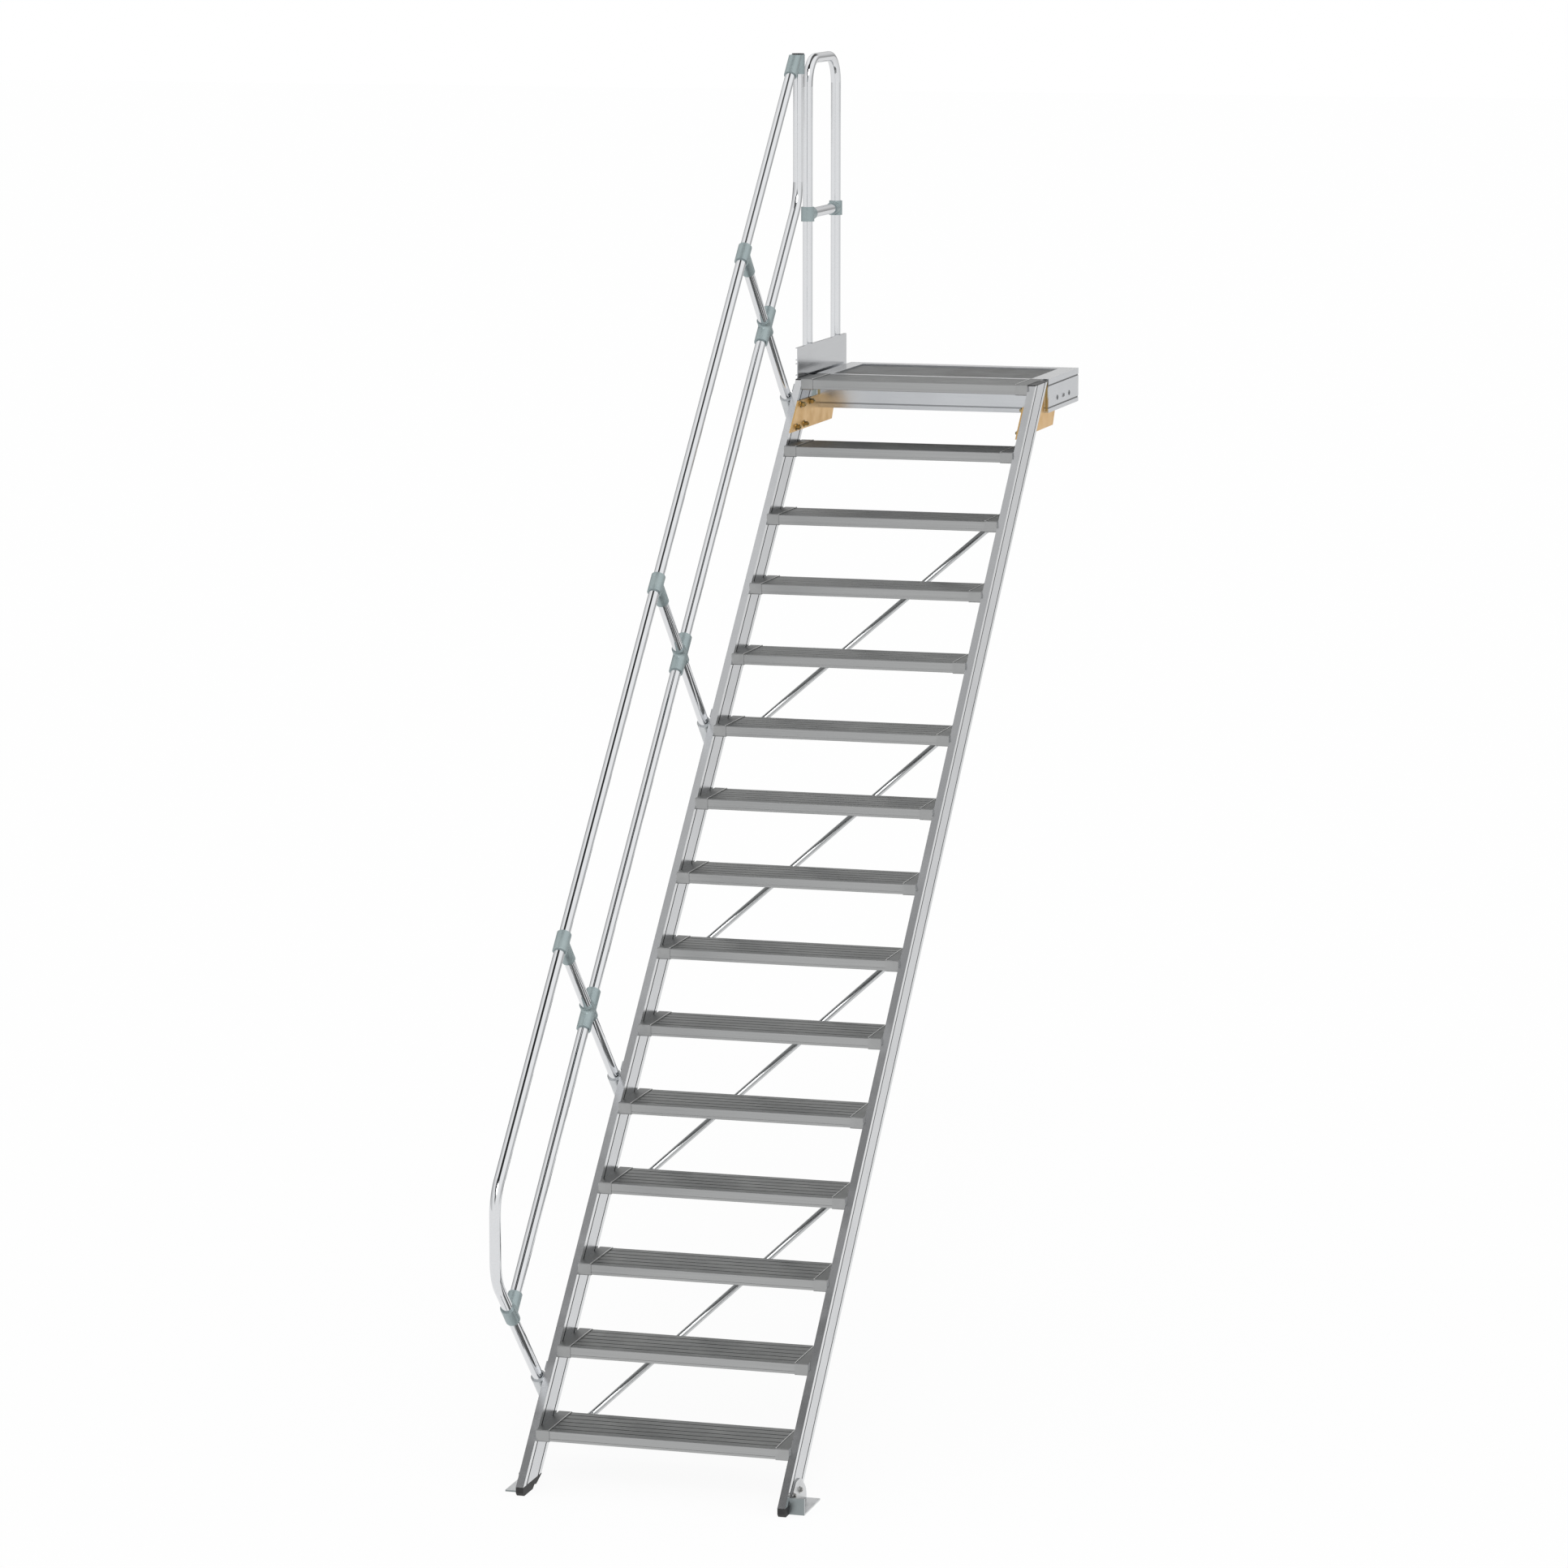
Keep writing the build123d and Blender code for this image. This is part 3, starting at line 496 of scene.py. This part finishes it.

# %% [markdown]
# The shoes on the tread ends and the clamps and brackets of the handrail are castings. The clamps
# have a grey skin with a touch of green, and the brackets are as light as the stringers that carry
# them. The shoes are closer to the colour of the treads, and their tops are painted darker as shade.
# The low lip along their inner edge is painted bright as a highlight; its height above the tread picks it out.

# %% Cast finishes
lip_height = 0.0035
shoe_finish = Finish("cast_shoe", 1.0)
marks = shoe_finish.group(smudges, Scale=12.0)
top = shoe_finish.group(towards)
side_colour = shoe_finish.colours(marks, (0.37, 0.375, 0.375), (0.43, 0.435, 0.435))
top_colour = shoe_finish.colours(marks, (0.2, 0.205, 0.203), (0.26, 0.265, 0.26))
below = shoe_finish.maths("SUBTRACT", deck_z + step, shoe_finish.axis("Z"))
# painted highlight: the lip along the inner edge is coloured near white
lip_highlight = shoe_finish.maths("COMPARE", shoe_finish.maths("MODULO", below, step), step - lip_height, 0.0008)
# painted shade: faces that look up take the darker top colour
shaded_top = shoe_finish.colours(top, side_colour, top_colour)
shoe_finish.base(shoe_finish.colours(lip_highlight, shaded_top, (0.8, 0.8, 0.79)))
shoe_finish.rough(marks, 0.38, 0.5)
shoe_finish.bump(shoe_finish.group(cast_skin, Scale=600.0), 0.15, 0.0004)
dress(shoe_finish, ["left_tread_shoes", "right_tread_shoes"])

clamp_finish = two_tone("cast_clamp", 0.75, 14.0, (0.34, 0.405, 0.415), (0.39, 0.46, 0.465), (0.42, 0.54))
clamp_finish.bump(clamp_finish.group(cast_skin, Scale=500.0), 0.08, 0.0005)
dress(
    clamp_finish,
    ["handrail_tees", "knee_rail_crosses", "lower_clamp", "top_connector", "crossbar_clamps", "guard_clamps"],
)

bracket_finish = two_tone("cast_bracket", 1.0, 15.0, (0.55, 0.57, 0.585), (0.64, 0.66, 0.67), (0.3, 0.42))
bracket_finish.bump(bracket_finish.group(cast_skin, Scale=650.0), 0.15, 0.0004)
dress(bracket_finish, ["post_brackets"])

# %% [markdown]
# Drawn tube is the brightest metal on the stair: smooth, with hardly any grain, a little duller
# where hands slide along it. The struts behind the treads are given a darker colour and a rougher
# skin.

# %% Tube finish
tube_finish = Finish("bright_tube", 1.0, turn=(-slope, 0.0, 0.0))
grain = tube_finish.group(streaks, Fineness=(260.0, 1.5, 260.0))
tube_finish.base(tube_finish.colours(grain, (0.66, 0.67, 0.685), (0.74, 0.75, 0.765)))
tube_finish.rough(tube_finish.group(smudges, Scale=6.0), 0.07, 0.13)
dress(tube_finish, ["handrail", "knee_rail", "post_2", "post_3", "post_4", "guard_hoop", "guard_crossbar"])

strut_finish = Finish("strut_tube", 1.0)
grain = strut_finish.group(streaks, Fineness=(90.0, 90.0, 90.0))
strut_finish.base(strut_finish.colours(grain, (0.5, 0.51, 0.515), (0.58, 0.59, 0.595)))
strut_finish.rough(strut_finish.group(smudges, Scale=10.0), 0.2, 0.27)
dress(strut_finish, [f"strut_{number}" for number in range(1, 5)])

# %% [markdown]
# The connecting plates are steel with a yellow passivated zinc coat, which is never even: it drifts
# between straw and honey. The faces that look to the front are painted dark olive as shade. The floor
# angles are plain pressed metal, and their end wall in front is painted darker as shade.

# %% Plate and angle finish
plate_finish = Finish("yellow_zinc", 1.0)
grain = plate_finish.group(streaks, Fineness=(60.0, 9.0, 60.0))
marks = plate_finish.group(smudges, Scale=16.0)
# painted shade: faces that look to the front take a dark olive
front = plate_finish.group(towards, Direction=facing_front)
straw = plate_finish.colours(grain, (0.78, 0.49, 0.19), (0.88, 0.58, 0.245))
honey = plate_finish.colours(marks, straw, (0.83, 0.54, 0.225))
plate_finish.base(plate_finish.colours(front, honey, (0.41, 0.34, 0.165)))
plate_finish.rough(marks, 0.34, 0.46)
dress(plate_finish, ["left_connecting_plate", "right_connecting_plate"])

angle_finish = Finish("pressed_angle", 1.0)
grain = angle_finish.group(streaks, Fineness=(120.0, 6.0, 120.0))
# painted shade: faces that look to the front are coloured darker
front = angle_finish.group(towards, Direction=facing_front)
pressed = angle_finish.colours(grain, (0.54, 0.55, 0.555), (0.62, 0.63, 0.64))
angle_finish.base(angle_finish.colours(front, pressed, (0.27, 0.3, 0.305)))
angle_finish.rough(angle_finish.group(smudges, Scale=20.0), 0.28, 0.4)
dress(angle_finish, ["left_floor_angle", "right_floor_angle"])

# %% [markdown]
# The feet are moulded rubber and the end caps and the plug are plain black plastic. Both have a
# fine mould texture, and the rubber is greyed a little by dust.

# %% Rubber and plastic finish
rubber_finish = two_tone("foot_rubber", 0.0, 30.0, (0.016, 0.016, 0.017), (0.035, 0.034, 0.033), (0.6, 0.75))
rubber_finish.bump(rubber_finish.group(cast_skin, Scale=900.0), 0.2, 0.0004)
dress(rubber_finish, ["left_rubber_foot", "right_rubber_foot"])

plastic_finish = two_tone("cap_plastic", 0.0, 25.0, (0.022, 0.023, 0.024), (0.034, 0.034, 0.035), (0.42, 0.55))
plastic_finish.bump(plastic_finish.group(cast_skin, Scale=1200.0), 0.15, 0.0003)
dress(plastic_finish, ["left_stringer_cap", "right_stringer_cap", "top_plug"])

# %% [markdown]
# Fasteners repeat all over the stair, so one Geometry Nodes tree makes them all. It takes a cloud
# of points, turns a washer and a six sided head with a short bolt end towards one direction and puts
# a copy on each point. The sizes and the direction are inputs of the tree.

# %% Bolt tree
bolt_steel = two_tone("bolt_steel", 1.0, 90.0, (0.42, 0.42, 0.41), (0.55, 0.54, 0.52), (0.24, 0.36))
bolt_tree = bpy.data.node_groups.new("bolts_on_points", "GeometryNodeTree")
bolt_tree.interface.new_socket("Geometry", in_out="INPUT", socket_type="NodeSocketGeometry")
bolt_tree.interface.new_socket("Geometry", in_out="OUTPUT", socket_type="NodeSocketGeometry")
bolt_inputs = {}
for label, kind, value in (
    ("Head Radius", "Float", 0.0075),
    ("Head Height", "Float", 0.006),
    ("Washer Radius", "Float", 0.0105),
    ("Washer Height", "Float", 0.0016),
    ("Head Sides", "Int", 6),
    ("Direction", "Vector", (0.0, 0.0, 1.0)),
    ("Material", "Material", None),
):
    socket = bolt_tree.interface.new_socket(label, in_out="INPUT", socket_type="NodeSocket" + kind)
    if value is not None:
        socket.default_value = value
    bolt_inputs[label] = socket.identifier
make = bolt_tree.nodes.new
link = bolt_tree.links.new
given = make("NodeGroupInput").outputs
pieces_out = make("NodeGroupOutput")
washer_sides = 20
shank_sides = 16
shank_to_head_radius = 0.55
shank_to_head_height = 1.35


def raised_disc(disc_sides, radius, thickness, lift):
    disc = make("GeometryNodeMeshCylinder")
    shift = make("ShaderNodeCombineXYZ")
    move = make("GeometryNodeTransform")
    for label, value in (("Vertices", disc_sides), ("Radius", radius), ("Depth", thickness)):
        feed(bolt_tree, disc.inputs[label], value)
    link(maths(bolt_tree, "MULTIPLY_ADD", thickness, 0.5, lift), shift.inputs["Z"])
    link(disc.outputs["Mesh"], move.inputs["Geometry"])
    link(shift.outputs[0], move.inputs["Translation"])
    return move.outputs["Geometry"]


washer = raised_disc(washer_sides, given["Washer Radius"], given["Washer Height"], 0.0)
head = raised_disc(given["Head Sides"], given["Head Radius"], given["Head Height"], given["Washer Height"])
shank_radius = maths(bolt_tree, "MULTIPLY", given["Head Radius"], shank_to_head_radius)
shank_height = maths(bolt_tree, "MULTIPLY", given["Head Height"], shank_to_head_height)
shank = raised_disc(shank_sides, shank_radius, shank_height, given["Washer Height"])
join = make("GeometryNodeJoinGeometry")
for piece in (shank, head, washer):
    link(piece, join.inputs["Geometry"])
flat = make("GeometryNodeSetShadeSmooth")
flat.inputs["Shade Smooth"].default_value = False
turn = make("FunctionNodeAlignRotationToVector")
turn.axis = "Z"
place = make("GeometryNodeInstanceOnPoints")
realize = make("GeometryNodeRealizeInstances")
colour = make("GeometryNodeSetMaterial")
link(join.outputs["Geometry"], flat.inputs["Geometry"])
link(given["Direction"], turn.inputs["Vector"])
link(given["Geometry"], place.inputs["Points"])
link(flat.outputs["Geometry"], place.inputs["Instance"])
link(turn.outputs["Rotation"], place.inputs["Rotation"])
link(place.outputs["Instances"], realize.inputs["Geometry"])
link(realize.outputs["Geometry"], colour.inputs["Geometry"])
link(given["Material"], colour.inputs["Material"])
link(colour.outputs["Geometry"], pieces_out.inputs["Geometry"])


def add_piece(name, mesh):
    piece = bpy.data.objects.new(name, mesh)
    scene.collection.objects.link(piece)
    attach(piece, "root")


def place_bolts(name, points, direction, slot, material=bolt_steel.material, **sizes):
    mesh = bpy.data.meshes.new(name + "_points")
    mesh.from_pydata(points, [], [])
    carrier = bpy.data.objects.new(name + "_points", mesh)
    scene.collection.objects.link(carrier)
    modifier = carrier.modifiers.new("bolts", "NODES")
    modifier.node_group = bolt_tree
    modifier[bolt_inputs["Direction"]] = direction
    modifier[bolt_inputs["Material"]] = material
    for label, value in sizes.items():
        modifier[bolt_inputs[label.replace("_", " ")]] = value
    carrier.update_tag()
    graph = bpy.context.evaluated_depsgraph_get()
    result = bpy.data.meshes.new_from_object(carrier.evaluated_get(graph))
    result.name = name
    bpy.data.objects.remove(carrier)
    add_piece(name, result)
    print(name, len(points), "fasteners,", len(result.polygons), "faces")


# %% [markdown]
# Each connecting plate is held to its stringer by four bolts in two level pairs. The nuts and the
# bolt ends stand on the inner face of the plate and have the same yellow coat, a little browner.

# %% Bolts of the connecting plates
bolt_zinc = two_tone("bolt_zinc", 1.0, 90.0, (0.3, 0.225, 0.09), (0.5, 0.39, 0.19), (0.26, 0.38))
plate_bolts = [(-0.7150, -0.0255), (-0.6035, -0.0240), (-0.7730, -0.0975), (-0.6760, -0.0960)]
for side, sign in sides:
    place_bolts(
        f"{side}_plate_bolts",
        [(sign * plate_inner, y, z) for y, z in plate_bolts],
        (-sign, 0.0, 0.0),
        "yellow_plated_steel",
        bolt_zinc.material,
        Head_Radius=0.0085,
        Head_Height=0.0115,
        Washer_Radius=0.0125,
        Washer_Height=0.002,
    )

# %% [markdown]
# Two bolts hold each floor angle to the foot of its stringer.

# %% Bolts of the floor angles
angle_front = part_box("right_floor_angle")[0][1]
angle_bolt_backs = (0.033, 0.103)
angle_bolt_height = 0.049
for side, sign in sides:
    place_bolts(
        f"{side}_angle_bolts",
        [(sign * angle_outer, angle_front + back, ground_z + angle_bolt_height) for back in angle_bolt_backs],
        (sign, 0.0, 0.0),
        "angle_aluminium",
        Head_Radius=0.0075,
        Washer_Radius=0.0105,
    )

# %% [markdown]
# Each post bracket is screwed to the stringer through its base plate, one screw on each side of the
# socket.

# %% Screws of the post brackets
post_alongs = [-0.052, -1.450, -2.848, -3.953]
bracket_screw_shift = 0.036
bracket_screw_off = -0.076
place_bolts(
    "bracket_screws",
    [
        (bracket_outer, *on_slope(along + shift, bracket_screw_off))
        for along in post_alongs
        for shift in (-bracket_screw_shift, bracket_screw_shift)
    ],
    (-1.0, 0.0, 0.0),
    "cast_clamp",
    Head_Radius=0.0065,
    Head_Height=0.005,
    Washer_Radius=0.009,
)

# %% [markdown]
# A flattened strut end is bolted up under its tread, close to the rear edge.

# %% Bolts of the struts
strut_bolt_x = 0.330
strut_bolt_back = 0.2095
strut_end_thickness = 0.005
strut_points = []
for start in (1, 4, 7, 10):
    for number, sign in ((start, -1), (start + 3, 1)):
        down = (tread_count + 1 - number) * step
        under = deck_z - down - tread_thickness - strut_end_thickness
        strut_points.append((sign * strut_bolt_x, nosing_y - down + strut_bolt_back, under))
place_bolts("strut_bolts", strut_points, (0.0, 0.0, -1.0), "bright_tube", Head_Radius=0.0065, Washer_Radius=0.0095)

# %% [markdown]
# On the outer face of each side rail there are two flush screws with a short slot between them. The
# screws come from the same tree with round heads. The slot is a thin inlay with round ends, drawn as
# one outline and given a low rim. Its floor is painted dark as the shadow inside the slot.

# %% Marks on the side rails
rail_mark_z = -0.0165
rail_screw_ys = (-0.316, -0.140)
rail_slot_y = -0.228
slot_half_length = 0.010
slot_radius = 0.006
slot_rim = 0.002
slot_lift = 0.001
slot_turns = 12
# painted shadow: the floor of each slot is coloured dark grey
slot_dark = two_tone("slot_shadow", 0.0, 60.0, (0.13, 0.13, 0.135), (0.19, 0.19, 0.195), (0.5, 0.7))
dull_screw = two_tone("dull_screw", 1.0, 80.0, (0.23, 0.235, 0.24), (0.31, 0.315, 0.32), (0.34, 0.46))


def slot_outline(radius):
    outline = []
    for end, start in ((1, -90.0), (-1, 90.0)):
        for turn_index in range(slot_turns + 1):
            angle = math.radians(start + 180.0 * turn_index / slot_turns)
            outline.append((end * slot_half_length + radius * math.cos(angle), radius * math.sin(angle)))
    return outline


def slot_inlay(name, sign):
    inner = slot_outline(slot_radius)
    outer = slot_outline(slot_radius + slot_rim)
    count = len(inner)
    layers = ((outer, 0.0), (outer, slot_lift), (inner, slot_lift), (inner, 0.3 * slot_lift))
    verts = [
        (sign * (rail_outer + up), rail_slot_y + v, rail_mark_z + w) for ring, up in layers for v, w in ring
    ]
    faces = []
    for low in range(0, (len(layers) - 1) * count, count):
        for k in range(count):
            after = (k + 1) % count
            faces.append((low + k, low + after, low + count + after, low + count + k))
    floor_face = tuple(range((len(layers) - 1) * count, len(layers) * count))
    mesh = bpy.data.meshes.new(name)
    mesh.from_pydata(verts, [], faces + [floor_face])
    mesh.materials.append(frame_finish.material)
    mesh.materials.append(slot_dark.material)
    mesh.polygons[len(faces)].material_index = 1
    add_piece(name, mesh)


for side, sign in sides:
    place_bolts(
        f"{side}_rail_screws",
        [(sign * rail_outer, y, rail_mark_z) for y in rail_screw_ys],
        (sign, 0.0, 0.0),
        "mill_aluminium",
        dull_screw.material,
        Head_Radius=0.006,
        Head_Height=0.0014,
        Head_Sides=18,
        Washer_Radius=0.009,
        Washer_Height=0.0008,
    )
    slot_inlay(f"{side}_rail_slot", sign)
print("rail marks placed")

# %% [markdown]
# The hollow of each side rail ends just behind the connecting plate. A narrow plated tab with clipped
# corners closes it a little inside the front end. It is drawn as one outline and given a thickness.

# %% Closing tabs of the side rails
tab_half_width = 0.0039
tab_half_height = 0.0523
tab_clip = 0.0012
tab_thickness = 0.002
tab_inset = 0.002
tab_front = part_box("platform_right_rail")[0][1] + tab_inset
rail_middle = rail_outer - rail_web / 2


def closing_tab(name, x):
    wide, high = tab_half_width - tab_clip, tab_half_height - tab_clip
    outline = []
    for across_sign, up in ((1, 1), (-1, 1), (-1, -1), (1, -1)):
        corner = [(across_sign * tab_half_width, up * high), (across_sign * wide, up * tab_half_height)]
        outline += corner if across_sign == up else corner[::-1]
    count = len(outline)
    verts = [(x + v, tab_front + back, w) for back in (0.0, tab_thickness) for v, w in outline]
    faces = [tuple(range(count)), tuple(range(2 * count - 1, count - 1, -1))]
    faces += [((k + 1) % count, k, k + count, (k + 1) % count + count) for k in range(count)]
    mesh = bpy.data.meshes.new(name)
    mesh.from_pydata(verts, [], faces)
    mesh.materials.append(plate_finish.material)
    add_piece(name, mesh)


for side, sign in sides:
    closing_tab(f"{side}_rail_tab", sign * rail_middle)
print("rail ends closed")
